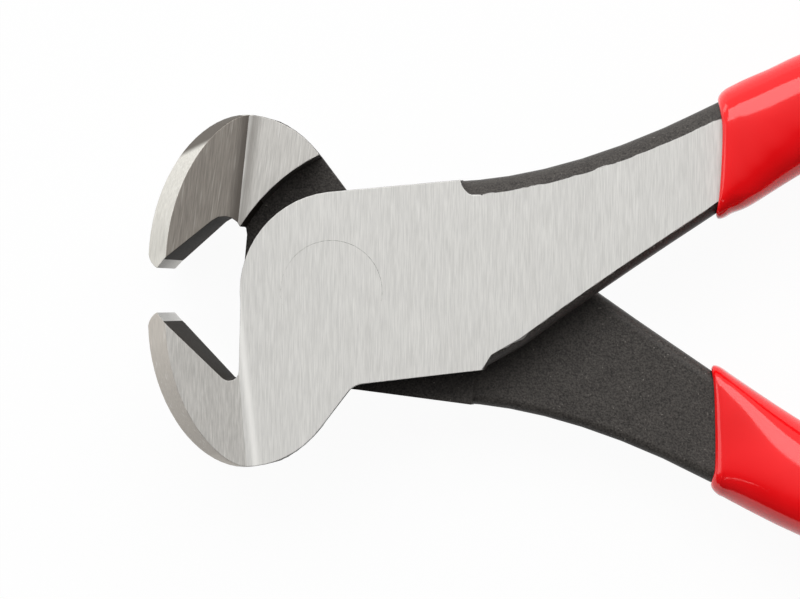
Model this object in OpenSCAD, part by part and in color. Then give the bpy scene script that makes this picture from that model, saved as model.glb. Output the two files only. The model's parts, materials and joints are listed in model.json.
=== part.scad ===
// End cutting nippers: two crossed forged levers on one flush rivet, with dipped grips.
// Each lever is drawn shut, with the pivot on Z and the lap plane at z = 0.
// The rear lever is the front one turned over about the long axis X, with a shallower throat, a longer
// nose, a slimmer back and a plain outer end to its joint. The backs of both jaws lean in to the tool's rear.
// In the finished tool z = 0 is the ground back face and +X points to the handles.

/* [Overall] */
// Length of the shut tool, from the front of the jaws to the ends of the grips
overall_len = 200; // [180:1:240]
// Angle between the levers as drawn, 0 is shut
open_angle = 14; // [0:1:40]
// Thickness of one lever at the lap joint
plate_t = 6; // [5:0.25:8]

/* [Jaws] */
// Distance from the pivot to the cutting edges
edge_reach = 22.6; // [20:0.1:26]
// Length of the cutting edges between the sloping flanks
edge_len = 21.4; // [18:0.2:26]
// Gap left between the cutting edges when the tool is shut
edge_gap = 0.2; // [0.1:0.05:0.6]
// Length of the ground facet behind each cutting edge
facet_len = 1.5; // [0.8:0.1:2.5]
// Slope of that facet
facet_slope = 57; // [50:1:65]
// How far the jaws bulge ahead of the cutting edges
jaw_bulge = 1.65; // [1:0.05:3]
// Distance from the cutting edge down to where its outer bevel starts
outer_bevel = 1.7; // [1:0.1:3]
// Roundness of that bevel, 0 is flat
brow_round = 0.6; // [0:0.1:1]
// Distance from the cutting edge down to the foremost point of the jaw
belly_drop = 4; // [3:0.1:7]
// Width across both jaws when shut
head_w = 42.9; // [41:0.2:48]
// Distance from the pivot to the widest point of the head
crest_x = 13; // [12:0.1:14]
// Radius behind the widest point of the head
crest_r = 12.5; // [9:0.5:14]
// Slope of the jaw's back where it runs down to the joint
back_slope = 46; // [40:1:55]
// Extra stock left on the back of the front jaw
front_back = 0.4; // [0:0.1:0.8]
// Draft of the jaws' backs, from the tool's front to its rear
back_draft = 3.5; // [0.5:0.5:4]
// Fillet radius between the jaw's back and the joint
back_fillet = 3; // [2:0.5:6]
// Distance from the pivot to the crease where the jaws start to widen
crease_x = 12.9; // [12:0.1:14]
// Fillet radius along that crease
crease_r = 5; // [2:0.5:8]
// Run of the bevel on the jaws' outer corners
corner_run = 2.6; // [1:0.1:3.5]
// Depth of that bevel below the jaw's flank
corner_drop = 3.8; // [2:0.1:5]

/* [Throat] */
// Distance from the pivot to the bottom of the front jaw's throat
front_throat_x = 14.4; // [14:0.1:15.5]
// Depth of that throat below the axis
front_throat = 10; // [8:0.1:11]
// Radius of its bottom
front_throat_r = 1.2; // [0.6:0.1:1.6]
// Distance from the pivot to the bottom of the rear jaw's throat
rear_throat_x = 14.8; // [14.6:0.1:15.5]
// Depth of that throat below the axis
rear_throat = 7.9; // [7:0.1:11]
// Radius of its bottom
rear_throat_r = 2.2; // [0.6:0.1:2.2]

/* [Joint] */
// Width of the lap joint across the tool
joint_w = 24.8; // [24:0.2:27]
// Distance from the pivot to the joint's nose
nose_reach = 12; // [11:0.1:12.4]
// How much further the rear lever's nose reaches
rear_nose = 0.4; // [0:0.1:0.4]
// Radius of the joint's nose
nose_r = 13; // [12.4:0.1:16]
// Rise of the front joint's outer side from its handle end to its nose
front_rise = 0.5; // [0:0.1:0.8]
// Distance from the pivot to the handle end of the joint
joint_end = 19.6; // [18:0.1:23]
// Length of the corner taken off the handle end of the joint
end_corner = 1.2; // [0.5:0.1:2.5]
// Height of that corner
end_rise = 1.8; // [0.5:0.1:2.5]
// Radius of the cutter's run-out at the front joint's outer corner
runout_r = 2.4; // [1.5:0.1:3]
// Gap between the two lapped faces
lap_gap = 0.2; // [0.1:0.05:0.4]
// Radius of the wall around the lap recess
recess_r = 24.8; // [22:0.2:28]
// Least room between that wall and the other lever's nose
recess_room = 1.6; // [0.8:0.1:2]
// Direction of the recess centre, seen from the pivot
recess_dir = 19; // [10:1:30]

/* [Rivet] */
// Diameter of the rivet's flush heads
rivet_head_d = 13.2; // [11:0.1:15]
// Diameter of the rivet's shank
rivet_d = 9; // [7:0.1:10]
// Radial clearance of the rivet in each lever
rivet_fit = 0.05; // [0.02:0.01:0.1]

/* [Handles] */
// Distance from the pivot to the root of the handle
root_x = 17; // [15.5:0.1:18]
// Height of the root above the axis
root_y = 0; // [-0.5:0.1:1]
// Direction of the handle at its root
root_heading = 14.5; // [10:0.1:16]
// Width of the handle at its root
root_w = 26.6; // [23:0.2:26.8]
// Stock taken off the inner side of the root
root_trim = 1; // [0:0.1:1.5]
// Width of the tang inside the grip
tang_w = 9.5; // [8:0.1:12]
// Length over which the handle narrows
taper_len = 20.5; // [12:0.5:25]
// Thickness of the tang inside the grip
tang_t = 9; // [8:0.1:11]
// Edge radius of the tang
tang_r = 4; // [2:0.1:4]
// Length of the stretch that spreads the handles
spread_len = 38; // [34:0.5:45]
// Angle that the handle turns outwards there
spread_turn = 8.8; // [6:0.1:14]
// Length of the straight stretch after it
straight_len = 6; // [5:0.5:16]
// Length of the stretch that bows back
bow_len = 38; // [30:0.5:46]
// Angle that the handle turns back there
bow_turn = 25.5; // [18:0.5:28]
// Angle that the handle's tail turns inwards
tail_turn = 8; // [3:0.5:12]
// Width of the rounded forged edge beside the ground face, outer side
outer_band = 2.1; // [1:0.1:2.6]
// Width of the rounded forged edge beside the ground face, inner side
inner_band = 0.9; // [0.4:0.1:1.5]
// Stock that grinding takes off the forged face
grind = 0.3; // [0.1:0.05:0.6]
// Relief of the handle's inner face below the lap plane
relief = 0.3; // [0.1:0.05:0.6]

/* [Grips] */
// Length of bare handle from its root to the grip
bare_len = 36.5; // [30:0.5:44]
// Lean of the grip's front edge, from square to the shut tool's axis
dip_lean = 7; // [0:0.5:12]
// Sag of the grip's front edge in the middle of each face
dip_sag = 1.2; // [0:0.1:1.6]
// How much further up its handle the rear grip was dipped
rear_dip = 0.8; // [0:0.1:2]
// Wall of the dipped grip at its front
grip_wall = 1.15; // [0.7:0.05:2]
// Wall of the dipped grip at its end, where the dip ran thicker
grip_wall_end = 1.5; // [0.8:0.05:3]
// Clearance between the grip and the tang
grip_fit = 0.15; // [0.1:0.01:0.25]
// Length over which the grip's front lip rounds up
lip_len = 0.5; // [0.3:0.1:1]
// Share of the front wall that the lip reaches
lip_share = 0.8; // [0.5:0.05:0.9]
// Length over which the grip then swells to its full front wall
swell_len = 1.1; // [0.8:0.1:4]
// Length of the grip's rounded end
grip_dome = 6; // [4:0.5:9]

/* [Hidden] */
$fn = 64;
steel = [0.72, 0.72, 0.71];
rivet_steel = [0.80, 0.80, 0.79];
red_vinyl = [0.87, 0.08, 0.10];
axis_3d = [0, 0, 1];
beyond = 60;
joint_half = joint_w / 2;
jaw_front = edge_reach + jaw_bulge;
lap_z = lap_gap / 2;

// Small helpers
function mix(a, b, t) = a + (b - a) * t;
function ease(t) = let (u = min(max(t, 0), 1)) u * u * (3 - 2 * u);
function oval(c, rx, ry, a0, a1, n) = [for (k = [0 : n])
    let (a = mix(a0, a1, k / n)) c + [rx * cos(a), ry * sin(a)]];
function arc(c, r, a0, a1, n) = oval(c, r, r, a0, a1, n);

// Jaw outline of the front lever: the jaw lies below the axis
edge = [-edge_reach, -edge_gap / 2];
facet_end = edge + facet_len * [cos(facet_slope), -sin(facet_slope)];
belly_c = [-crest_x, -belly_drop];
belly_rx = jaw_front - crest_x;
belly_ry = head_w / 2 - belly_drop;
belly_a0 = 180 - asin((belly_drop - outer_bevel) / belly_ry);
belly_n = 20;
belly_pts = oval(belly_c, belly_rx, belly_ry, belly_a0, 270, belly_n);
brow_n = 4;
brow_c = [edge.x, belly_pts[0].y];
brow = oval(brow_c, edge.x - belly_pts[0].x, edge.y - belly_pts[0].y, 90, 180, brow_n);
brow_pts = [for (k = [0 : brow_n - 1]) mix(mix(edge, belly_pts[0], k / brow_n), brow[k], brow_round)];
crest_a0 = 276;
crest_c = [-crest_x, crest_r - head_w / 2];
back_start = crest_c + crest_r * [sin(back_slope), -cos(back_slope)];
fillet_y = -joint_half - back_fillet;
fillet_t = (fillet_y - back_start.y + back_fillet * cos(back_slope)) / sin(back_slope);
fillet_x = back_start.x + back_fillet * sin(back_slope) + fillet_t * cos(back_slope);
back_pts = concat(
    arc(crest_c, crest_r, crest_a0, 270 + back_slope, 6),
    arc([fillet_x, fillet_y], back_fillet, 90 + back_slope, 90, 5));
function moved(pts, dx) = [for (p = pts) p + [dx, 0]];
throat_a0 = 355;
function touch_angle(c, r) = let (d = facet_end - c) atan2(d.y, d.x) + acos(r / norm(d));
function throat_pts(x, depth, r) = let (c = [-x, r - depth])
    arc(c, r, throat_a0, touch_angle(c, r), 6);

// Joint outline: the milled plate from the nose to the handle end
function nose_pts(reach, rise) = arc([nose_r - reach, joint_half + rise - nose_r], nose_r, 90, 180, 14);
end_pts = [
    [joint_end - end_corner, -joint_half],
    [joint_end, end_rise - joint_half],
    [joint_end, joint_half]];
function head_pts(throat, back, nose) = concat(
    brow_pts, belly_pts, moved(back_pts, back), end_pts, nose, throat, [facet_end]);

// Flank of the head, seen along Y: flat at the joint, widening along the jaws
flare_tan = (edge_len / 2 - plate_t) / (edge_reach - crease_x);
flare_angle = atan(flare_tan);
function flare_z(x) = plate_t - (x + crease_x) * flare_tan;
crease_c = [crease_r * tan(flare_angle / 2) - crease_x, plate_t + crease_r];
upper_flank = concat(
    [[-beyond, flare_z(-beyond)]],
    arc(crease_c, crease_r, 270 - flare_angle, 270, 6),
    [[overall_len, plate_t]]);
lower_flank = [for (k = [len(upper_flank) - 1 : -1 : 0]) [upper_flank[k].x, -upper_flank[k].y]];
flank_pts = concat(upper_flank, lower_flank);

// Wall of the lap recess, always clear of the other lever's nose
recess_shift = recess_r - max(nose_reach + rear_nose, joint_half + front_rise) - recess_room;
recess_c = recess_shift * [cos(recess_dir), sin(recess_dir)];

// Centre line of the handle: an arc outwards, a straight, an arc back and a long tail
function arc_end(p, h, length, turn) = abs(turn) < 0.001
    ? p + length * [cos(h), sin(h)]
    : p + length * 180 / (PI * turn) * [sin(h + turn) - sin(h), cos(h) - cos(h + turn)];
spread_p = [root_x, root_y];
straight_p = arc_end(spread_p, root_heading, spread_len, spread_turn);
straight_h = root_heading + spread_turn;
bow_p = arc_end(straight_p, straight_h, straight_len, 0);
tail_p = arc_end(bow_p, straight_h, bow_len, -bow_turn);
tail_h = straight_h - bow_turn;
tail_dx = overall_len - jaw_front - tail_p.x;
tail_len = tail_dx * tail_turn * PI / 180 / (sin(tail_h) - sin(tail_h - tail_turn));
straight_s = spread_len;
bow_s = straight_s + straight_len;
tail_s = bow_s + bow_len;
end_s = tail_s + tail_len;
tang_end = end_s - grip_dome;
function part_way(p, h, s, length, turn) = let (t = turn * s / length) [arc_end(p, h, s, t), h + t];
function path(s) = s < straight_s ? part_way(spread_p, root_heading, s, spread_len, spread_turn)
    : s < bow_s ? part_way(straight_p, straight_h, s - straight_s, straight_len, 0)
    : s < tail_s ? part_way(bow_p, straight_h, s - bow_s, bow_len, -bow_turn)
    : part_way(tail_p, tail_h, s - tail_s, tail_len, -tail_turn);

// Cross-section of the handle: a rounded bar that thickens towards the grip
corner_n = 4;
ring_n = 4 * (corner_n + 1);
thicken_lead = 6;
thicken_s = bare_len - thicken_lead;
thicken_len = 35;
settle_len = 45;
round_len = 8;
inner_edge_r = 1.4;
most_round = 0.6;
function band_r(band) = band + grind + sqrt(2 * band * grind);
neck_r = [band_r(outer_band), band_r(inner_band), inner_edge_r, inner_edge_r];
trim_len = 6;
function half_w(s) = tang_w / 2 + (root_w - tang_w) / 2 * exp(-s / taper_len);
function inner_w(s) = half_w(s) - root_trim * exp(-s / trim_len);
function top_z(s) = mix(plate_t + grind, tang_t / 2, ease((s - bare_len) / settle_len));
function low_z(s) = mix(lap_z + relief, -tang_t / 2, ease((s - thicken_s) / thicken_len));
function edge_radii(s, grow, limit) = [for (r = neck_r)
    min(mix(r, tang_r, ease((s - bare_len) / round_len)) + grow, limit)];
function section(s, grow) = let (
    outer = half_w(s) + grow,
    inner = inner_w(s) + grow,
    hi = top_z(s) + grow,
    lo = low_z(s) - grow,
    r = edge_radii(s, grow, most_round * (hi - lo)))
    [for (q = [0 : 3], k = [0 : corner_n]) let (
        a = 90 * (q + k / corner_n),
        cu = (q == 0 || q == 3) ? outer - r[q] : r[q] - inner,
        cv = q < 2 ? hi - r[q] : lo + r[q])
        [cu + r[q] * cos(a), cv + r[q] * sin(a)]];

// One point of the handle's skin at station s, drawn in by the factors across and high
function skin(s, j, grow, across, high) = let (
    q = path(s),
    c = section(s, grow)[j],
    mid = (top_z(s) + low_z(s)) / 2)
    [q[0].x - across * c.x * sin(q[1]), q[0].y + across * c.x * cos(q[1]), mid + high * (c.y - mid)];

// A ring of such points, square to the centre line
function ring(s, grow, shrink = 1) =
    [for (j = [0 : ring_n - 1]) skin(s, j, grow, shrink, shrink)];

// Rings of the steel bar, from a narrower root inside the joint to the tang's end
bar_n = 22;
root_inset = 1.5;
root_cover = 4;
root_outer = 0.72;
root_inner = 0.95;
bar_bias = 1.3;
root_ring = [for (j = [0 : ring_n - 1]) let (c = section(-root_inset, 0)[j])
    skin(-root_inset, j, 0, c.x > 0 ? root_outer : root_inner, 1)];
bar_rings = concat(
    [root_ring],
    [for (k = [0 : bar_n]) ring(mix(root_cover, tang_end, pow(k / bar_n, bar_bias)), 0)]);

// Rings of the grip: up the bore, around the front lip, back along the outside, over the end
lean_len = 25;
lean_at_dip = path(bare_len)[1] + dip_lean;
function dip_share(s) = 1 - ease((s - bare_len) / lean_len);
function dip_ring(s, grow, reach) = let (
    c = section(s, grow),
    w = half_w(s) + grow,
    lean = tan(lean_at_dip * dip_share(s)),
    sag = dip_sag * dip_share(s),
    start = s - reach * dip_share(s))
    [for (j = [0 : ring_n - 1])
        skin(start + c[j].x * lean + sag * (1 - pow(c[j].x / w, 2)), j, grow, 1, 1)];
thick_len = 60;
function wall_at(s) = mix(grip_wall, grip_wall_end, ease((s - swell_s) / thick_len));
bore_n = 18;
lip_n = 4;
lip_turn = 70;
swell_n = 3;
dome_n = 4;
dome_turn = 84;
bore_end = tang_end + grip_fit;
lip_s = bare_len + lip_len;
lip_wall = lip_share * grip_wall;
swell_s = lip_s + swell_len;
ring_bias = 1.6;
function spaced(from, to, t) = mix(from, to, pow(t, ring_bias));
function grip_rings(reach) = concat(
    [for (k = [bore_n : -1 : 1]) dip_ring(spaced(lip_s, bore_end, k / bore_n), grip_fit, reach)],
    [for (k = [0 : lip_n]) let (
        a = lip_turn * k / lip_n,
        along = (1 - cos(a)) / (1 - cos(lip_turn)),
        up = sin(a) / sin(lip_turn))
        dip_ring(bare_len + lip_len * along, mix(grip_fit, lip_wall, up), reach)],
    [for (k = [1 : swell_n]) let (t = k / swell_n)
        dip_ring(mix(lip_s, swell_s, t), mix(grip_wall, lip_wall, pow(1 - t, 2)), reach)],
    [for (k = [1 : bore_n]) let (s = spaced(swell_s, tang_end, k / bore_n)) dip_ring(s, wall_at(s), reach)],
    [for (k = [1 : dome_n]) let (a = dome_turn * k / dome_n)
        ring(tang_end + grip_dome * sin(a), grip_wall_end, cos(a))]);

// Rings of the cutter that bevels the jaw's outer corner, a triangle along the belly
cutter_over = 2;
run_off = 0.1;
bevel_along = [corner_run, corner_drop - corner_run * flare_tan];
bevel_dir = bevel_along / norm(bevel_along);
bevel_out = [-bevel_dir.y, bevel_dir.x];
function bevel_ring(p, share, lift = 0) = let (
    low = [p.x, flare_z(p.x) - corner_drop * share] + lift * bevel_out,
    high = low + share * bevel_along,
    a = low - cutter_over * bevel_dir,
    b = high + cutter_over * bevel_dir)
    [[a.x, p.y, a.y], [b.x, p.y, b.y], [a.x, p.y, b.y]];
function belly_share(p) = let (
    d = p - belly_c,
    n = [d.x / pow(belly_rx, 2), d.y / pow(belly_ry, 2)])
    abs(n.x) / norm(n);
bevel_rings = concat(
    [bevel_ring([belly_pts[0].x, outer_bevel], belly_share(belly_pts[0]))],
    [for (k = [0 : belly_n - 1]) bevel_ring(belly_pts[k], belly_share(belly_pts[k]))],
    [bevel_ring(belly_pts[belly_n], 0, run_off)]);

// Rings of the cutter that gives the jaw's back its draft, fading out at both ends of the back
back_land = 0.3;
draft_n = len(back_pts) - 1;
draft_top = plate_t - back_land;
draft_low = -flare_z(-crest_x - crest_r);
function back_out(k) = let (d = back_pts[min(k + 1, draft_n)] - back_pts[max(k - 1, 0)])
    [d.y, -d.x] / norm(d);
function draft_ring(k, back) = let (
    share = sin(180 * k / draft_n),
    out = back_out(k),
    lift = run_off * (1 - share),
    high = lift + share * back_land * tan(back_draft),
    low = lift - share * (draft_top - draft_low) * tan(back_draft),
    p = back_pts[k] + [back, 0],
    corners = [[high, plate_t], [cutter_over, plate_t], [cutter_over, draft_low], [low, draft_low]])
    [for (c = corners) let (q = p + c.x * out) [q.x, q.y, c.y]];
function draft_rings(back) = [for (k = [0 : draft_n]) draft_ring(k, back)];

// Joins rings of equal length into one closed skin
module loft(rings) {
    n = len(rings[0]);
    last = len(rings) - 1;
    sides = [for (i = [0 : last - 1], j = [0 : n - 1]) let (k = (j + 1) % n)
        [i * n + j, (i + 1) * n + j, (i + 1) * n + k, i * n + k]];
    start = [for (j = [0 : n - 1]) j];
    end = [for (j = [n - 1 : -1 : 0]) last * n + j];
    polyhedron([for (r = rings, p = r) p], concat([start], sides, [end]), convexity = 6);
}

// Rivet shape: a shank with a countersunk flush head at each face
module rivet_shape(clear) {
    head = rivet_head_d / 2 + clear;
    shank = rivet_d / 2 + clear;
    rotate_extrude() polygon([
        [0, -plate_t], [head, -plate_t], [shank, head - shank - plate_t],
        [shank, shank - head + plate_t], [head, plate_t], [0, plate_t]]);
}

// Head of one lever: jaw and joint plate, with the lap recess cut into its inner side
module head(throat, back, nose, runout) {
    difference() {
        translate([0, 0, -beyond / 2]) linear_extrude(beyond) difference() {
            polygon(head_pts(throat, back, nose));
            if (runout) translate([joint_end + runout_r / 2, joint_half]) circle(runout_r);
        }
        translate([recess_c.x, recess_c.y, lap_z - beyond]) cylinder(r = recess_r, h = beyond);
    }
}

module flank() {
    rotate([90, 0, 0]) linear_extrude(2 * beyond, center = true) polygon(flank_pts);
}

// One lever, drawn shut, before the draft on its back
module lever(throat, back, nose, runout) {
    difference() {
        intersection() {
            union() {
                head(throat, back, nose, runout);
                loft(bar_rings);
            }
            flank();
        }
        loft(bevel_rings);
        mirror(axis_3d) loft(bevel_rings);
        rivet_shape(rivet_fit);
    }
}

// Places a piece of the front lever, and of the rear one turned over
module front_place() {
    translate([0, 0, plate_t]) rotate([0, 0, open_angle / 2]) children();
}

module rear_place() {
    translate([0, 0, plate_t]) rotate([0, 0, -open_angle / 2]) rotate([180, 0, 0]) children();
}

module front_lever() {
    throat = throat_pts(front_throat_x, front_throat, front_throat_r);
    color(steel) front_place() difference() {
        lever(throat, front_back, nose_pts(nose_reach, front_rise), runout = true);
        loft(draft_rings(front_back));
    }
}

module rear_lever() {
    throat = throat_pts(rear_throat_x, rear_throat, rear_throat_r);
    color(steel) rear_place() difference() {
        lever(throat, 0, nose_pts(nose_reach + rear_nose, 0), runout = false);
        mirror(axis_3d) loft(draft_rings(0));
    }
}

module pivot_rivet() {
    color(rivet_steel) translate([0, 0, plate_t]) rivet_shape(0);
}

module front_grip() {
    color(red_vinyl) front_place() loft(grip_rings(0));
}

module rear_grip() {
    color(red_vinyl) rear_place() loft(grip_rings(rear_dip));
}

front_lever();
rear_lever();
pivot_rivet();
front_grip();
rear_grip();
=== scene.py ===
"""End cutting nippers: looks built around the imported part, in its own frame and in metres."""

import json
import logging
import math
from dataclasses import dataclass
from enum import Enum, IntEnum
from typing import Any

import bpy
from mathutils import Matrix, Vector

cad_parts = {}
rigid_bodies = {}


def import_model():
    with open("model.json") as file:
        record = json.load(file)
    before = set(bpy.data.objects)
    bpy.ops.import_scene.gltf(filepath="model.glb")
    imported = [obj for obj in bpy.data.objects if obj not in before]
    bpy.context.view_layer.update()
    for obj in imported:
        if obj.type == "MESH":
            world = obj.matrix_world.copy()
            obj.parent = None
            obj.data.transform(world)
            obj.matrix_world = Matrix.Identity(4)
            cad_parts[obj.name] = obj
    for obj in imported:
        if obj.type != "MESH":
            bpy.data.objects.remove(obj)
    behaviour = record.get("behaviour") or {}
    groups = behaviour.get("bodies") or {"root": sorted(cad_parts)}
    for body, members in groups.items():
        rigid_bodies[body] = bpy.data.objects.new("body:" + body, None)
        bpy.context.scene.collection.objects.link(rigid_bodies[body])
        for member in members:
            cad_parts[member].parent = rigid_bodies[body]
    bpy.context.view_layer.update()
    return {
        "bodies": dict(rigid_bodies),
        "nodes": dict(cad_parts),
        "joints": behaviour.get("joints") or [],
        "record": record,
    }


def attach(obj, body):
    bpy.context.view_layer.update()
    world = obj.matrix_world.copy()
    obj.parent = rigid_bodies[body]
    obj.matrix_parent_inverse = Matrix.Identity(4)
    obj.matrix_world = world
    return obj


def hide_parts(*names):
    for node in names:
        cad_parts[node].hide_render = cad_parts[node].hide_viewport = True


LOG = logging.getLogger("nippers")
MM = 0.001
# Each lever stands this far from shut, in radians, as the tool is drawn
HALF_OPEN = math.radians(7)
# Sockets of a Mix node by their index, because several of them share a name
MIX_SHARE = 0
FLOAT_A = 2
FLOAT_B = 3
COLOUR_A = 6
COLOUR_B = 7
COLOUR_OUT = 2


class Half(Enum):
    """The two halves of the tool, by the body that each one rides on."""

    FRONT = "front_half"
    REAR = "rear_half"


class Skin(IntEnum):
    """The finishes on a lever, by their material slot."""

    GROUND = 0
    OXIDE = 1
    THROAT = 2
    FLARE = 3
    BEVEL = 4


def linear(hex_colour: str) -> tuple[float, float, float, float]:
    """Turns an sRGB hex colour to linear RGBA.

    Args:
        hex_colour: six hex digits.

    Returns:
        Linear red, green and blue with an alpha of 1.
    """
    parts = [int(hex_colour[k:k + 2], 16) / 255 for k in (0, 2, 4)]
    red, green, blue = [p / 12.92 if p <= 0.04045 else ((p + 0.055) / 1.055) ** 2.4 for p in parts]
    return red, green, blue, 1.0


def add_node(tree: bpy.types.NodeTree, kind: str, settings: dict[Any, Any],
             links: dict[Any, Any]) -> bpy.types.Node:
    """Adds one node with its settings and links.

    Args:
        tree: the node tree it goes into.
        kind: Blender's name of the node type.
        settings: node properties by name, or input values by input name or index.
        links: output sockets by the name or index of the input that they feed.

    Returns:
        The new node.
    """
    node = tree.nodes.new(kind)
    for key, value in settings.items():
        if isinstance(key, str) and hasattr(node, key):
            setattr(node, key, value)
        else:
            node.inputs[key].default_value = value
    for key, socket in links.items():
        tree.links.new(socket, node.inputs[key])
    return node


def new_material(name: str) -> tuple[bpy.types.Material, bpy.types.NodeTree, bpy.types.Node]:
    """Starts an empty node material.

    Args:
        name: the material's name.

    Returns:
        The material, its node tree and its output node.
    """
    material = bpy.data.materials.new(name)
    material.use_nodes = True
    tree = material.node_tree
    tree.nodes.clear()
    return material, tree, add_node(tree, "ShaderNodeOutputMaterial", {}, {})


@dataclass(frozen=True)
class PaintedLightStrip:
    """A strip of painted light laid on the steel as another tone: a painted highlight or painted shade.

    The stops are places along one direction, in millimetres from the pivot, each with the tone's share.
    """

    direction: float
    stops: tuple[tuple[float, float], ...]
    tone: str

    def share(self, tree: bpy.types.NodeTree, place: bpy.types.NodeSocket) -> bpy.types.NodeSocket:
        """Works out the tone's share at each place.

        Args:
            tree: the material's node tree.
            place: the socket with the place in metres.

        Returns:
            The socket with the share.
        """
        first, last = self.stops[0][0], self.stops[-1][0]
        turned = add_node(tree, "ShaderNodeMapping", {"Rotation": (0, 0, -self.direction)},
                          {"Vector": place})
        along = add_node(tree, "ShaderNodeSeparateXYZ", {}, {"Vector": turned.outputs[0]})
        span = add_node(tree, "ShaderNodeMapRange", {"From Min": first * MM, "From Max": last * MM},
                        {"Value": along.outputs["X"]})
        ramp = add_node(tree, "ShaderNodeValToRGB", {}, {"Fac": span.outputs[0]})
        ramp.color_ramp.interpolation = "EASE"
        stops = ramp.color_ramp.elements
        while len(stops) < len(self.stops):
            stops.new(0.5)
        for stop, (spot, amount) in zip(stops, self.stops):
            stop.position = (spot - first) / (last - first)
            stop.color = (amount, amount, amount, 1.0)
        return ramp.outputs["Color"]


@dataclass(frozen=True)
class GroundSteel:
    """Carbon steel ground on a belt: fine parallel lines with a soft sheen across them.

    Lengths are in millimetres, the turn of the lines is in radians, and spans and shares are parts of one.
    """

    name: str
    turn: float
    light: str = "E5E4E1"
    dark: str = "D3D2CF"
    scratch: str = "ECEBE8"
    painted_light: PaintedLightStrip | None = None
    line_pitch: float = 0.14
    line_length: float = 3.0
    line_depth: float = 0.012
    band_pitch: float = 2.2
    band_length: float = 9.0
    band_share: float = 0.08
    tone_span: tuple[float, float] = (0.34, 0.66)
    scratch_width: float = 1.4
    scratch_rate: float = 0.7
    scratch_span: tuple[float, float] = (0.68, 0.84)
    scratch_share: float = 0.5
    roughness: float = 0.7
    rough_play: float = 0.03
    rough_span: tuple[float, float] = (0.3, 0.7)

    def material(self) -> bpy.types.Material:
        """Builds the material.

        Returns:
            The finished material.
        """
        material, tree, out = new_material(self.name)
        place = add_node(tree, "ShaderNodeTexCoord", {}, {}).outputs["Object"]
        turned = add_node(tree, "ShaderNodeMapping", {"Rotation": (0, 0, -self.turn)},
                          {"Vector": place}).outputs[0]
        # Grinding lines a seventh of a millimetre apart, as coarse as the picture needs to show them
        across = 1 / (self.line_pitch * MM)
        fine = add_node(tree, "ShaderNodeMapping",
                        {"Scale": (across, 1 / (self.line_length * MM), across)}, {"Vector": turned})
        lines = add_node(tree, "ShaderNodeTexNoise", {"Scale": 1.0, "Detail": 3.0, "Roughness": 0.6},
                         {"Vector": fine.outputs[0]})
        # Broader passes of the belt, about two millimetres wide
        wide = 1 / (self.band_pitch * MM)
        broad = add_node(tree, "ShaderNodeMapping",
                         {"Scale": (wide, 1 / (self.band_length * MM), wide)}, {"Vector": turned})
        bands = add_node(tree, "ShaderNodeTexNoise", {"Scale": 1.0, "Detail": 1.0},
                         {"Vector": broad.outputs[0]})
        both = add_node(tree, "ShaderNodeMix", {"data_type": "FLOAT", "Factor": self.band_share},
                        {FLOAT_A: lines.outputs["Fac"], FLOAT_B: bands.outputs["Fac"]})
        tone = add_node(tree, "ShaderNodeValToRGB", {}, {"Fac": both.outputs[0]})
        for stop, spot, shade in zip(tone.color_ramp.elements, self.tone_span, (self.dark, self.light)):
            stop.position = spot
            stop.color = linear(shade)
        # A few brighter scratches from coarse grains, wider and longer than the lines
        thick = across / self.scratch_width
        coarse = add_node(tree, "ShaderNodeMapping",
                          {"Scale": (thick, self.scratch_rate / (self.line_length * MM), thick)},
                          {"Vector": turned})
        sparse = add_node(tree, "ShaderNodeTexNoise", {"Scale": 1.0, "Detail": 0.0},
                          {"Vector": coarse.outputs[0]})
        marks = add_node(tree, "ShaderNodeMapRange",
                         {"From Min": self.scratch_span[0], "From Max": self.scratch_span[1],
                          "To Max": self.scratch_share},
                         {"Value": sparse.outputs["Fac"]})
        colour = add_node(tree, "ShaderNodeMix", {"data_type": "RGBA", COLOUR_B: linear(self.scratch)},
                          {MIX_SHARE: marks.outputs[0], COLOUR_A: tone.outputs["Color"]})
        # Painted light: a strip of painted highlight or painted shade mixed into the colour
        if self.painted_light:
            colour = add_node(tree, "ShaderNodeMix",
                              {"data_type": "RGBA", COLOUR_B: linear(self.painted_light.tone)},
                              {MIX_SHARE: self.painted_light.share(tree, place),
                               COLOUR_A: colour.outputs[COLOUR_OUT]})
        rough = add_node(tree, "ShaderNodeMapRange",
                         {"From Min": self.rough_span[0], "From Max": self.rough_span[1],
                          "To Min": self.roughness - self.rough_play,
                          "To Max": self.roughness + self.rough_play},
                         {"Value": lines.outputs["Fac"]})
        bump = add_node(tree, "ShaderNodeBump", {"Strength": 0.35, "Distance": self.line_depth * MM},
                        {"Height": lines.outputs["Fac"]})
        shader = add_node(tree, "ShaderNodeBsdfPrincipled", {"Metallic": 1.0},
                          {"Base Color": colour.outputs[COLOUR_OUT], "Roughness": rough.outputs[0],
                           "Normal": bump.outputs[0]})
        tree.links.new(shader.outputs[0], out.inputs["Surface"])
        return material


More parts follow.
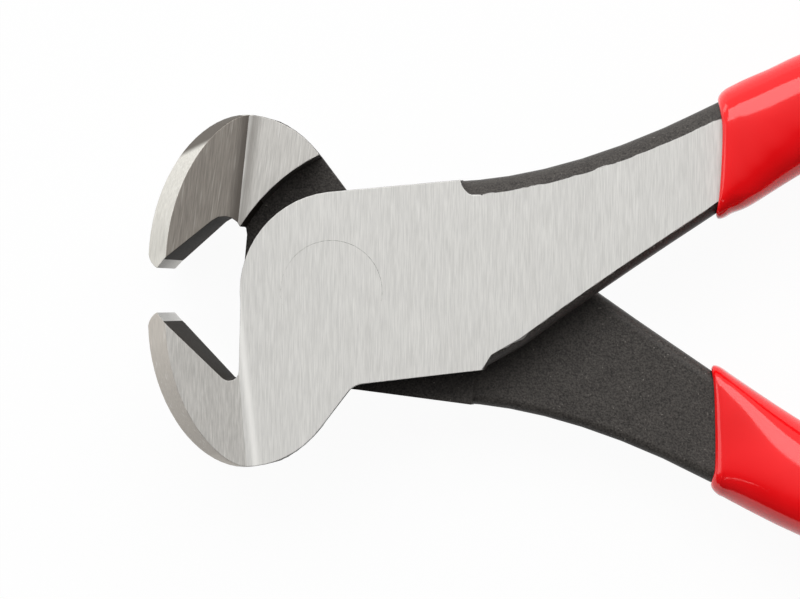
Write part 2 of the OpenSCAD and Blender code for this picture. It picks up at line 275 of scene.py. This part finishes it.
@dataclass(frozen=True)
class BlackOxide:
    """Forged steel with a black oxide coat: a fine grain, a low sheen, bare metal where the belt touched.

    Lengths are in millimetres, and spans and shares are parts of one. The face is the height of the ground
    face, and the side is 1 where that face looks up and -1 where it looks down.
    """

    name: str
    face: float
    side: int
    dark: str = "252220"
    light: str = "534F4B"
    bare: str = "B4B3B0"
    speck: str = "77726D"
    grain: float = 0.24
    grain_depth: float = 0.07
    mottle: float = 2.5
    mottle_share: float = 0.12
    tone_span: tuple[float, float] = (0.32, 0.72)
    speck_pitch: float = 0.3
    speck_span: tuple[float, float] = (0.79, 0.87)
    wear_swing: float = 0.6
    wear_start: float = 0.26
    wear_blend: float = 0.03
    roughness: float = 0.55
    rough_down: float = 0.06
    rough_up: float = 0.08
    rough_span: tuple[float, float] = (0.3, 0.7)

    def material(self) -> bpy.types.Material:
        """Builds the material.

        Returns:
            The finished material.
        """
        material, tree, out = new_material(self.name)
        place = add_node(tree, "ShaderNodeTexCoord", {}, {}).outputs["Object"]
        grain = add_node(tree, "ShaderNodeTexNoise", {"Scale": 1 / (self.grain * MM), "Detail": 2.0},
                         {"Vector": place})
        mottle = add_node(tree, "ShaderNodeTexNoise", {"Scale": 1 / (self.mottle * MM), "Detail": 2.0},
                          {"Vector": place})
        both = add_node(tree, "ShaderNodeMix", {"data_type": "FLOAT", "Factor": self.mottle_share},
                        {FLOAT_A: grain.outputs["Fac"], FLOAT_B: mottle.outputs["Fac"]})
        tone = add_node(tree, "ShaderNodeValToRGB", {}, {"Fac": both.outputs[0]})
        for stop, spot, shade in zip(tone.color_ramp.elements, self.tone_span, (self.dark, self.light)):
            stop.position = spot
            stop.color = linear(shade)
        # Pinholes in the coat show as pale specks under half a millimetre across
        holes = add_node(tree, "ShaderNodeTexNoise",
                         {"Scale": 1 / (self.speck_pitch * MM), "Detail": 0.0}, {"Vector": place})
        speck = add_node(tree, "ShaderNodeMapRange",
                         {"From Min": self.speck_span[0], "From Max": self.speck_span[1]},
                         {"Value": holes.outputs["Fac"]})
        specked = add_node(tree, "ShaderNodeMix", {"data_type": "RGBA", COLOUR_B: linear(self.speck)},
                           {MIX_SHARE: speck.outputs[0], COLOUR_A: tone.outputs["Color"]})
        # The belt takes the coat off unevenly within about a tenth of a millimetre of the ground face
        height = add_node(tree, "ShaderNodeSeparateXYZ", {}, {"Vector": place}).outputs["Z"]
        depth = add_node(tree, "ShaderNodeMath", {"operation": "MULTIPLY_ADD", 1: self.side / MM,
                                                  2: -self.side * self.face}, {0: height})
        uneven = add_node(tree, "ShaderNodeMath", {"operation": "MULTIPLY_ADD", 1: self.wear_swing,
                                                   2: -self.wear_start}, {0: mottle.outputs["Fac"]})
        near = add_node(tree, "ShaderNodeMath", {"operation": "ADD"},
                        {0: depth.outputs[0], 1: uneven.outputs[0]})
        bare = add_node(tree, "ShaderNodeMapRange", {"From Min": 0.0, "From Max": self.wear_blend},
                        {"Value": near.outputs[0]})
        colour = add_node(tree, "ShaderNodeMix", {"data_type": "RGBA", COLOUR_B: linear(self.bare)},
                          {MIX_SHARE: bare.outputs[0], COLOUR_A: specked.outputs[COLOUR_OUT]})
        rough = add_node(tree, "ShaderNodeMapRange",
                         {"From Min": self.rough_span[0], "From Max": self.rough_span[1],
                          "To Min": self.roughness - self.rough_down,
                          "To Max": self.roughness + self.rough_up},
                         {"Value": grain.outputs["Fac"]})
        bump = add_node(tree, "ShaderNodeBump", {"Strength": 0.8, "Distance": self.grain_depth * MM},
                        {"Height": grain.outputs["Fac"]})
        shader = add_node(tree, "ShaderNodeBsdfPrincipled", {"Specular IOR Level": 0.3},
                          {"Base Color": colour.outputs[COLOUR_OUT], "Metallic": bare.outputs[0],
                           "Roughness": rough.outputs[0], "Normal": bump.outputs[0]})
        tree.links.new(shader.outputs[0], out.inputs["Surface"])
        return material


@dataclass(frozen=True)
class ThroatSteel:
    """Steel milled in the throat and left dark: a brownish black, dull and grainy.

    Lengths are in millimetres, and the span is in parts of one.
    """

    name: str = "dark milled steel"
    dark: str = "25211D"
    light: str = "3C3630"
    grain: float = 0.4
    grain_depth: float = 0.04
    tone_span: tuple[float, float] = (0.3, 0.7)
    roughness: float = 0.65

    def material(self) -> bpy.types.Material:
        """Builds the material.

        Returns:
            The finished material.
        """
        material, tree, out = new_material(self.name)
        place = add_node(tree, "ShaderNodeTexCoord", {}, {}).outputs["Object"]
        grain = add_node(tree, "ShaderNodeTexNoise", {"Scale": 1 / (self.grain * MM), "Detail": 3.0},
                         {"Vector": place})
        tone = add_node(tree, "ShaderNodeValToRGB", {}, {"Fac": grain.outputs["Fac"]})
        for stop, spot, shade in zip(tone.color_ramp.elements, self.tone_span, (self.dark, self.light)):
            stop.position = spot
            stop.color = linear(shade)
        bump = add_node(tree, "ShaderNodeBump", {"Strength": 0.4, "Distance": self.grain_depth * MM},
                        {"Height": grain.outputs["Fac"]})
        shader = add_node(tree, "ShaderNodeBsdfPrincipled",
                          {"Specular IOR Level": 0.05, "Roughness": self.roughness},
                          {"Base Color": tone.outputs["Color"], "Normal": bump.outputs[0]})
        tree.links.new(shader.outputs[0], out.inputs["Surface"])
        return material


@dataclass(frozen=True)
class DippedVinyl:
    """Plasticised vinyl that the handles were dipped in: smooth, glossy, a little uneven in thickness.

    Lengths are in millimetres, and the span is in parts of one.
    """

    name: str = "dipped red vinyl"
    thick: str = "EC0A10"
    thin: str = "F6141A"
    flow: float = 9.0
    flow_depth: float = 0.15
    tone_span: tuple[float, float] = (0.3, 0.7)
    roughness: float = 0.1

    def material(self) -> bpy.types.Material:
        """Builds the material.

        Returns:
            The finished material.
        """
        material, tree, out = new_material(self.name)
        place = add_node(tree, "ShaderNodeTexCoord", {}, {}).outputs["Object"]
        flow = add_node(tree, "ShaderNodeTexNoise", {"Scale": 1 / (self.flow * MM), "Detail": 1.0},
                        {"Vector": place})
        tone = add_node(tree, "ShaderNodeValToRGB", {}, {"Fac": flow.outputs["Fac"]})
        for stop, spot, shade in zip(tone.color_ramp.elements, self.tone_span, (self.thick, self.thin)):
            stop.position = spot
            stop.color = linear(shade)
        bump = add_node(tree, "ShaderNodeBump", {"Strength": 0.2, "Distance": self.flow_depth * MM},
                        {"Height": flow.outputs["Fac"]})
        shader = add_node(tree, "ShaderNodeBsdfPrincipled", {"Roughness": self.roughness, "IOR": 1.53},
                          {"Base Color": tone.outputs["Color"], "Normal": bump.outputs[0]})
        tree.links.new(shader.outputs[0], out.inputs["Surface"])
        return material


def only(piece: bpy.types.Object) -> None:
    """Makes a piece the only selected and the active object.

    Args:
        piece: the object.
    """
    bpy.ops.object.select_all(action="DESELECT")
    piece.select_set(True)
    bpy.context.view_layer.objects.active = piece


def copy_of(node: bpy.types.Object, name: str, gap: float) -> bpy.types.Object:
    """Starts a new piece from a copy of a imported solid, with its triangles joined.

    Args:
        node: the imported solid's object.
        name: the new piece's name.
        gap: the distance in millimetres under which points are merged.

    Returns:
        The new piece.
    """
    piece = bpy.data.objects.new(name, node.data.copy())
    bpy.context.scene.collection.objects.link(piece)
    piece.data.materials.clear()
    only(piece)
    bpy.ops.object.mode_set(mode="EDIT")
    bpy.ops.mesh.select_all(action="SELECT")
    bpy.ops.mesh.customdata_custom_splitnormals_clear()
    bpy.ops.mesh.remove_doubles(threshold=gap * MM)
    bpy.ops.mesh.select_all(action="DESELECT")
    bpy.ops.object.mode_set(mode="OBJECT")
    return piece


@dataclass
class Lever:
    """One forged lever: jaw, half of the lap joint, handle and tang.

    Lengths are in millimetres and angles in degrees, but the turn is in radians. The places, rises and leans
    that part one finish from the next are in the lever's own frame. A rise is the share of a face's normal
    along Z, and a lean or an upright is its share along X or Y.
    """

    node: str
    half: Half
    turn: float
    turned_over: bool
    plate: float = 6.0
    jaw_root: float = -11.0
    jaw_side: float = -1.0
    facet_start: float = -21.3
    ground_end: float = -13.2
    face_rise: float = 0.995
    face_slack: float = 0.1
    wall_rise: float = 0.3
    bevel_rise: float = 0.9
    bevel_lean: float = -0.1
    flare_rise: float = 0.8
    flare_lean: float = 0.3
    corner_depth: float = 0.5
    corner_end: float = 8.0
    corner_side: float = -2.0
    throat_lean: float = 0.2
    throat_upright: float = 0.6
    merge_gap: float = 0.06
    flat_angle: float = 0.4
    edge_angle: float = 42.0
    edge_break: float = 0.12
    bore_edge: float = 7.0
    sharp: float = 30.0

    def own_frame(self) -> Matrix:
        """Gives the transform from the tool's frame to the lever's own, shut, with the lap plane at zero.

        Returns:
            The transform, from metres to millimetres.
        """
        place = Matrix.Translation((0, 0, self.plate * MM)) @ Matrix.Rotation(self.turn, 4, "Z")
        if self.turned_over:
            place = place @ Matrix.Rotation(math.pi, 4, "X")
        return Matrix.Scale(1 / MM, 4) @ place.inverted()

    def skin_at(self, centre: Vector, normal: Vector) -> Skin:
        """Chooses the finish of one face by its place and its normal.

        Args:
            centre: the face's centre in the lever's own frame, in millimetres.
            normal: its unit normal there.

        Returns:
            The finish.
        """
        rise = abs(normal.z)
        on_jaw = centre.x < self.jaw_root
        if normal.z > self.face_rise and centre.z > self.plate - self.face_slack:
            return Skin.GROUND
        if on_jaw and self.wall_rise < rise < self.bevel_rise and normal.x < self.bevel_lean:
            return Skin.BEVEL
        if on_jaw and rise > self.flare_rise and normal.x > self.flare_lean:
            return Skin.FLARE
        at_face = rise > self.wall_rise and abs(centre.z) > self.plate - self.corner_depth
        if at_face and centre.x < self.corner_end and centre.y < self.corner_side:
            return Skin.GROUND
        if on_jaw and rise < self.wall_rise:
            inward = normal.x > self.throat_lean or normal.y > self.throat_upright
            if inward and centre.x >= self.facet_start:
                return Skin.THROAT
            return Skin.GROUND if centre.x < self.ground_end else Skin.OXIDE
        if on_jaw and centre.y < self.jaw_side:
            return Skin.GROUND
        return Skin.OXIDE

    def paint(self, piece: bpy.types.Object) -> None:
        """Gives each face its finish.

        Args:
            piece: the lever's mesh object.
        """
        to_own = self.own_frame()
        turn_only = to_own.to_3x3().normalized()
        for face in piece.data.polygons:
            face.material_index = self.skin_at(to_own @ face.center, turn_only @ face.normal)

    def break_edges(self, piece: bpy.types.Object) -> None:
        """Breaks the sharp edges a little, but not around the rivet, and keeps flat faces flat to the light.

        Args:
            piece: the lever's mesh object.
        """
        bpy.ops.object.mode_set(mode="EDIT")
        bpy.ops.mesh.select_mode(type="EDGE")
        bpy.ops.mesh.select_all(action="DESELECT")
        bpy.ops.mesh.edges_select_sharp(sharpness=math.radians(self.edge_angle))
        bpy.ops.object.mode_set(mode="OBJECT")
        points = piece.data.vertices
        for edge in piece.data.edges:
            if max(points[k].co.xy.length for k in edge.vertices) < self.bore_edge * MM:
                edge.select = False
        bpy.ops.object.mode_set(mode="EDIT")
        bpy.ops.mesh.bevel(offset=self.edge_break * MM, segments=2, affect="EDGES", clamp_overlap=False)
        bpy.ops.mesh.select_mode(type="VERT")
        bpy.ops.object.mode_set(mode="OBJECT")
        bpy.ops.object.shade_smooth_by_angle(angle=math.radians(self.sharp))
        bpy.ops.object.modifier_add(type="WEIGHTED_NORMAL")
        flat = piece.modifiers[-1]
        flat.keep_sharp = True
        bpy.ops.object.modifier_apply(modifier=flat.name)

    def build(self, frame: dict[str, Any], finishes: dict[Skin, bpy.types.Material]) -> bpy.types.Object:
        """Builds and dresses the lever.

        Args:
            frame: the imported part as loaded.
            finishes: the material for each finish.

        Returns:
            The lever's piece.
        """
        piece = copy_of(frame["nodes"][self.node], f"{self.node}_forging", self.merge_gap)
        bpy.ops.object.mode_set(mode="EDIT")
        bpy.ops.mesh.select_all(action="SELECT")
        bpy.ops.mesh.dissolve_limited(angle_limit=math.radians(self.flat_angle))
        bpy.ops.object.mode_set(mode="OBJECT")
        for skin in Skin:
            piece.data.materials.append(finishes[skin])
        self.paint(piece)
        self.break_edges(piece)
        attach(piece, self.half.value)
        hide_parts(self.node)
        return piece


@dataclass
class Grip:
    """One dipped grip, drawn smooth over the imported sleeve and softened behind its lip.

    Lengths are in millimetres and angles in degrees. The coat is softened between two places along X. Its
    inner edge runs through the edge point at the edge slope. Where the coat ran thicker along that edge,
    each row of fuller gives a stretch along X and how far it is pushed out there. The push takes what lies
    within the edge depth and faces that way by more than the facing share.
    """

    node: str
    half: Half
    merge_gap: float = 0.01
    quad_angle: float = 60.0
    quad_skew: float = 90.0
    soften_from: float = 50.9
    soften_to: float = 62.0
    soften_times: int = 5
    edge_point: tuple[float, float] = (53.8, 11.4)
    edge_slope: float = 31.0
    edge_depth: float = 6.0
    facing: float = 0.2
    fuller: tuple[tuple[float, float, float], ...] = ()

    def refine(self, piece: bpy.types.Object) -> None:
        """Divides the grip's faces once and rounds them.

        Args:
            piece: the grip's mesh object.
        """
        bpy.ops.object.modifier_add(type="SUBSURF")
        smooth = piece.modifiers[-1]
        smooth.levels = 1
        smooth.render_levels = 1
        bpy.ops.object.modifier_apply(modifier=smooth.name)

    def thicken(self, piece: bpy.types.Object) -> None:
        """Pushes out the inner edge of the coat where it ran thicker.

        Args:
            piece: the grip's mesh object.
        """
        slope = math.radians(self.edge_slope)
        out = Vector((math.sin(slope), -math.cos(slope), 0))
        edge = Vector((*self.edge_point, 0)) * MM
        for start, end, push in self.fuller:
            for vertex in piece.data.vertices:
                inside = start * MM < vertex.co.x < end * MM
                near = (vertex.co - edge).dot(out) > -self.edge_depth * MM
                vertex.select = inside and near and vertex.normal.dot(out) > self.facing
            bpy.ops.object.mode_set(mode="EDIT")
            bpy.ops.transform.translate(value=out * push * MM)
            bpy.ops.object.mode_set(mode="OBJECT")

    def build(self, frame: dict[str, Any], finish: bpy.types.Material) -> bpy.types.Object:
        """Builds and dresses the grip.

        Args:
            frame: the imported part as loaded.
            finish: the grip's material.

        Returns:
            The grip's piece.
        """
        piece = copy_of(frame["nodes"][self.node], f"{self.node}_coat", self.merge_gap)
        bpy.ops.object.mode_set(mode="EDIT")
        bpy.ops.mesh.select_all(action="SELECT")
        bpy.ops.mesh.tris_convert_to_quads(face_threshold=math.radians(self.quad_angle),
                                           shape_threshold=math.radians(self.quad_skew))
        bpy.ops.object.mode_set(mode="OBJECT")
        self.refine(piece)
        bpy.ops.object.mode_set(mode="EDIT")
        bpy.ops.mesh.select_mode(type="VERT")
        bpy.ops.mesh.select_all(action="DESELECT")
        bpy.ops.object.mode_set(mode="OBJECT")
        self.thicken(piece)
        for vertex in piece.data.vertices:
            vertex.select = self.soften_from * MM < vertex.co.x < self.soften_to * MM
        bpy.ops.object.mode_set(mode="EDIT")
        bpy.ops.mesh.vertices_smooth(factor=0.5, repeat=self.soften_times)
        bpy.ops.object.mode_set(mode="OBJECT")
        self.refine(piece)
        bpy.ops.object.shade_smooth()
        piece.data.materials.append(finish)
        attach(piece, self.half.value)
        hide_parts(self.node)
        return piece


@dataclass
class Rivet:
    """The flush rivet, whose rims spread a little, and not quite evenly, when it was set.

    Lengths are in millimetres and the angle in degrees.
    """

    node: str
    half: Half
    merge_gap: float = 0.01
    head_radius: float = 6.6
    rim_slack: float = 0.01
    spread: float = 0.028
    sideways: tuple[float, float] = (-0.007, -0.018)
    sharp: float = 30.0

    def build(self, frame: dict[str, Any], finish: bpy.types.Material) -> bpy.types.Object:
        """Builds and dresses the rivet.

        Args:
            frame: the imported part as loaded.
            finish: the rivet's material.

        Returns:
            The rivet's piece.
        """
        piece = copy_of(frame["nodes"][self.node], f"{self.node}_set", self.merge_gap)
        for vertex in piece.data.vertices:
            vertex.select = vertex.co.xy.length > (self.head_radius - self.rim_slack) * MM
        bpy.ops.object.mode_set(mode="EDIT")
        grow = 1 + self.spread / self.head_radius
        bpy.ops.transform.resize(value=(grow, grow, 1), center_override=(0, 0, 0))
        bpy.ops.transform.translate(value=(self.sideways[0] * MM, self.sideways[1] * MM, 0))
        bpy.ops.object.mode_set(mode="OBJECT")
        bpy.ops.object.shade_smooth_by_angle(angle=math.radians(self.sharp))
        piece.data.materials.append(finish)
        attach(piece, self.half.value)
        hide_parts(self.node)
        return piece


@dataclass(frozen=True)
class SoftBox:
    """One lamp that faces the tool.

    The azimuth is its direction round the tool from +X and the lean its angle from straight above, both in
    degrees. Its distance, width and height are in metres. A brightness of 1 shows as white.
    """

    name: str
    azimuth: float
    lean: float
    away: float
    size: tuple[float, float]
    bright: float

    def place(self) -> None:
        """Adds the lamp to the scene."""
        azimuth, lean = math.radians(self.azimuth), math.radians(self.lean)
        aside = math.sin(lean)
        way = Vector((aside * math.cos(azimuth), aside * math.sin(azimuth), math.cos(lean)))
        bpy.ops.object.light_add(type="AREA", location=way * self.away)
        lamp = bpy.context.object
        lamp.name = self.name
        lamp.data.shape = "RECTANGLE"
        lamp.data.size, lamp.data.size_y = self.size
        lamp.data.energy = self.bright * math.pi * self.size[0] * self.size[1]
        lamp.rotation_euler = (-way).to_track_quat("-Z", "Y").to_euler()


@dataclass
class Studio:
    """Floor, lamps, world and camera around the tool.

    The camera's places and the floor's drop are in millimetres, its roll is in degrees, and the floor's size
    and the camera's reach are in metres.
    """

    view_from: tuple[float, float, float] = (76.2, -1.09, 772.0)
    view_to: tuple[float, float, float] = (8.96, -0.99, 12.0)
    roll: float = 0.4
    lens: float = 264.5
    reach: tuple[float, float] = (0.05, 20.0)
    lamps: tuple[SoftBox, ...] = (
        SoftBox("window box", 90, 38, 1.1, (1.5, 0.68), 3.1),
        SoftBox("side box", 178, 62, 1.1, (0.5, 0.6), 1.6),
        SoftBox("low box", 140, 80, 1.2, (0.6, 0.35), 2.2),
        SoftBox("edge strip", 238, 37, 1.1, (0.5, 0.03), 3.0),
    )
    room_dark: str = "3C3C3C"
    room_light: str = "E8E8E8"
    room_span: tuple[float, float] = (-0.3, 0.35)
    floor_drop: float = 4.5
    floor_size: float = 6.0
    floor_glow: float = 0.95
    paper: str = "F2F2F2"

    def camera(self) -> None:
        """Sets the camera above the tool, aimed as in the photograph."""
        eye = Vector(self.view_from) * MM
        back = (eye - Vector(self.view_to) * MM).normalized()
        up = Vector((-math.sin(math.radians(self.roll)), math.cos(math.radians(self.roll)), 0))
        right = up.cross(back).normalized()
        up = back.cross(right)
        bpy.ops.object.camera_add()
        camera = bpy.context.object
        camera.name = "camera"
        turn = Matrix((right, up, back)).transposed().to_4x4()
        camera.matrix_world = Matrix.Translation(eye) @ turn
        camera.data.lens = self.lens
        camera.data.clip_start, camera.data.clip_end = self.reach
        bpy.context.scene.camera = camera

    def room(self) -> None:
        """Adds the world's fill light, which is brighter on the window's side."""
        world = bpy.data.worlds.new("studio world")
        bpy.context.scene.world = world
        world.use_nodes = True
        tree = world.node_tree
        way = add_node(tree, "ShaderNodeTexCoord", {}, {})
        side = add_node(tree, "ShaderNodeSeparateXYZ", {}, {"Vector": way.outputs["Generated"]})
        share = add_node(tree, "ShaderNodeMapRange",
                         {"From Min": self.room_span[0], "From Max": self.room_span[1]},
                         {"Value": side.outputs["Y"]})
        ramp = add_node(tree, "ShaderNodeValToRGB", {}, {"Fac": share.outputs[0]})
        ramp.color_ramp.elements[0].color = linear(self.room_dark)
        ramp.color_ramp.elements[1].color = linear(self.room_light)
        tree.links.new(ramp.outputs["Color"], tree.nodes["Background"].inputs["Color"])
        tree.nodes["Background"].inputs["Strength"].default_value = 1.0

    def floor(self) -> None:
        """Adds the white floor, which the camera sees as white paper with a faint shadow."""
        bpy.ops.mesh.primitive_plane_add(size=self.floor_size, location=(0, 0, -self.floor_drop * MM))
        sheet = bpy.context.object
        sheet.name = "floor"
        material, tree, out = new_material("white paper floor")
        path = add_node(tree, "ShaderNodeLightPath", {}, {})
        seen = add_node(tree, "ShaderNodeMath", {"operation": "MAXIMUM"},
                        {0: path.outputs["Is Camera Ray"], 1: path.outputs["Is Glossy Ray"]})
        seen = add_node(tree, "ShaderNodeMath", {"operation": "MAXIMUM"},
                        {0: seen.outputs[0], 1: path.outputs["Is Transmission Ray"]})
        share = add_node(tree, "ShaderNodeMath", {"operation": "MULTIPLY", 1: self.floor_glow},
                         {0: seen.outputs[0]})
        paper = add_node(tree, "ShaderNodeBsdfDiffuse", {"Color": linear(self.paper)}, {})
        glow = add_node(tree, "ShaderNodeEmission", {"Color": (1, 1, 1, 1), "Strength": 1.0}, {})
        mixed = add_node(tree, "ShaderNodeMixShader", {},
                         {0: share.outputs[0], 1: paper.outputs[0], 2: glow.outputs[0]})
        tree.links.new(mixed.outputs[0], out.inputs["Surface"])
        sheet.data.materials.append(material)

    def build(self) -> None:
        """Builds the whole studio."""
        self.camera()
        for lamp in self.lamps:
            lamp.place()
        self.room()
        self.floor()
        bpy.context.scene.view_settings.view_transform = "Standard"


def front_finishes(throat: bpy.types.Material) -> dict[Skin, bpy.types.Material]:
    """Makes the front lever's materials, with a painted highlight along the crease where its jaw flares.

    Args:
        throat: the throat's material, which both levers share.

    Returns:
        The material for each finish.
    """
    # Painted highlight: a pale strip along the crease, on the flare and on the flat beside it
    crease = PaintedLightStrip(HALF_OPEN, ((-13.2, 0.0), (-12.4, 0.8), (-11.5, 0.0)), "F4F3F0")
    flare = GroundSteel("ground steel front flare", 0.0, light="DAD8D4", dark="C0BEBA", painted_light=crease)
    bevel = GroundSteel("ground steel front bevel", 0.0, light="D6D1CA", dark="C8C3BC")
    return {Skin.GROUND: GroundSteel("ground steel front", 0.0, painted_light=crease).material(),
            Skin.OXIDE: BlackOxide("black oxide front", 12.0, 1).material(),
            Skin.THROAT: throat,
            Skin.FLARE: flare.material(),
            Skin.BEVEL: bevel.material()}


def rear_finishes(throat: bpy.types.Material) -> dict[Skin, bpy.types.Material]:
    """Makes the rear lever's materials, with painted shade: a darker flare, the jaw darker towards the
    crease and the bevel darker towards one end.

    Args:
        throat: the throat's material, which both levers share.

    Returns:
        The material for each finish.
    """
    # Painted shade: the jaw darker towards the crease, on the flare and, more faintly, on the flat beside it
    crease = PaintedLightStrip(-HALF_OPEN, ((-15.2, 0.0), (-13.4, 0.9), (-12.9, 1.0)), "6E6862")
    soft = PaintedLightStrip(-HALF_OPEN, ((-13.4, 0.0), (-12.9, 0.5), (-11.4, 0.0)), "8E8983")
    # Painted shade: the bevel darker towards one end, where its reflection fades
    painted_bevel_shade = PaintedLightStrip(math.radians(122.3) - HALF_OPEN, ((23.9, 0.0), (24.7, 1.0)), "77726C")
    ground = GroundSteel("ground steel rear", -HALF_OPEN, light="DAD8D4", dark="C2C0BC", painted_light=soft)
    # Painted shade: the flare is a darker copy of the ground steel, darker still towards the crease
    flare = GroundSteel("ground steel rear flare in painted shade", -HALF_OPEN, light="B3ADA5", dark="98928B",
                        scratch="CFCAC3", painted_light=crease)
    bevel = GroundSteel("ground steel rear bevel", -HALF_OPEN, light="E2E0DA", dark="CECCC6", painted_light=painted_bevel_shade)
    return {Skin.GROUND: ground.material(),
            Skin.OXIDE: BlackOxide("black oxide rear", 0.0, -1).material(),
            Skin.THROAT: throat,
            Skin.FLARE: flare.material(),
            Skin.BEVEL: bevel.material()}


def main() -> None:
    """Builds the studio, dresses the tool and reports each piece."""
    logging.basicConfig(level=logging.INFO)
    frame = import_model()
    bpy.ops.object.select_all(action="DESELECT")
    Studio().build()
    throat = ThroatSteel().material()
    vinyl = DippedVinyl().material()
    front = front_finishes(throat)
    rear = rear_finishes(throat)
    # The front coat is fuller along its inner edge, step by step behind the lip
    fuller = ((52.4, 84.0, 0.2), (54.6, 80.0, 0.16), (56.2, 76.0, 0.14), (57.6, 70.0, 0.12))
    pieces = [Lever("front_lever", Half.FRONT, HALF_OPEN, False).build(frame, front),
              Lever("rear_lever", Half.REAR, -HALF_OPEN, True).build(frame, rear),
              Grip("front_grip", Half.FRONT, soften_from=53.0, fuller=fuller).build(frame, vinyl),
              Grip("rear_grip", Half.REAR).build(frame, vinyl),
              Rivet("pivot_rivet", Half.REAR).build(frame, front[Skin.GROUND])]
    for piece in pieces:
        LOG.info("%s: %d faces", piece.name, len(piece.data.polygons))


if __name__ == "__main__":
    main()
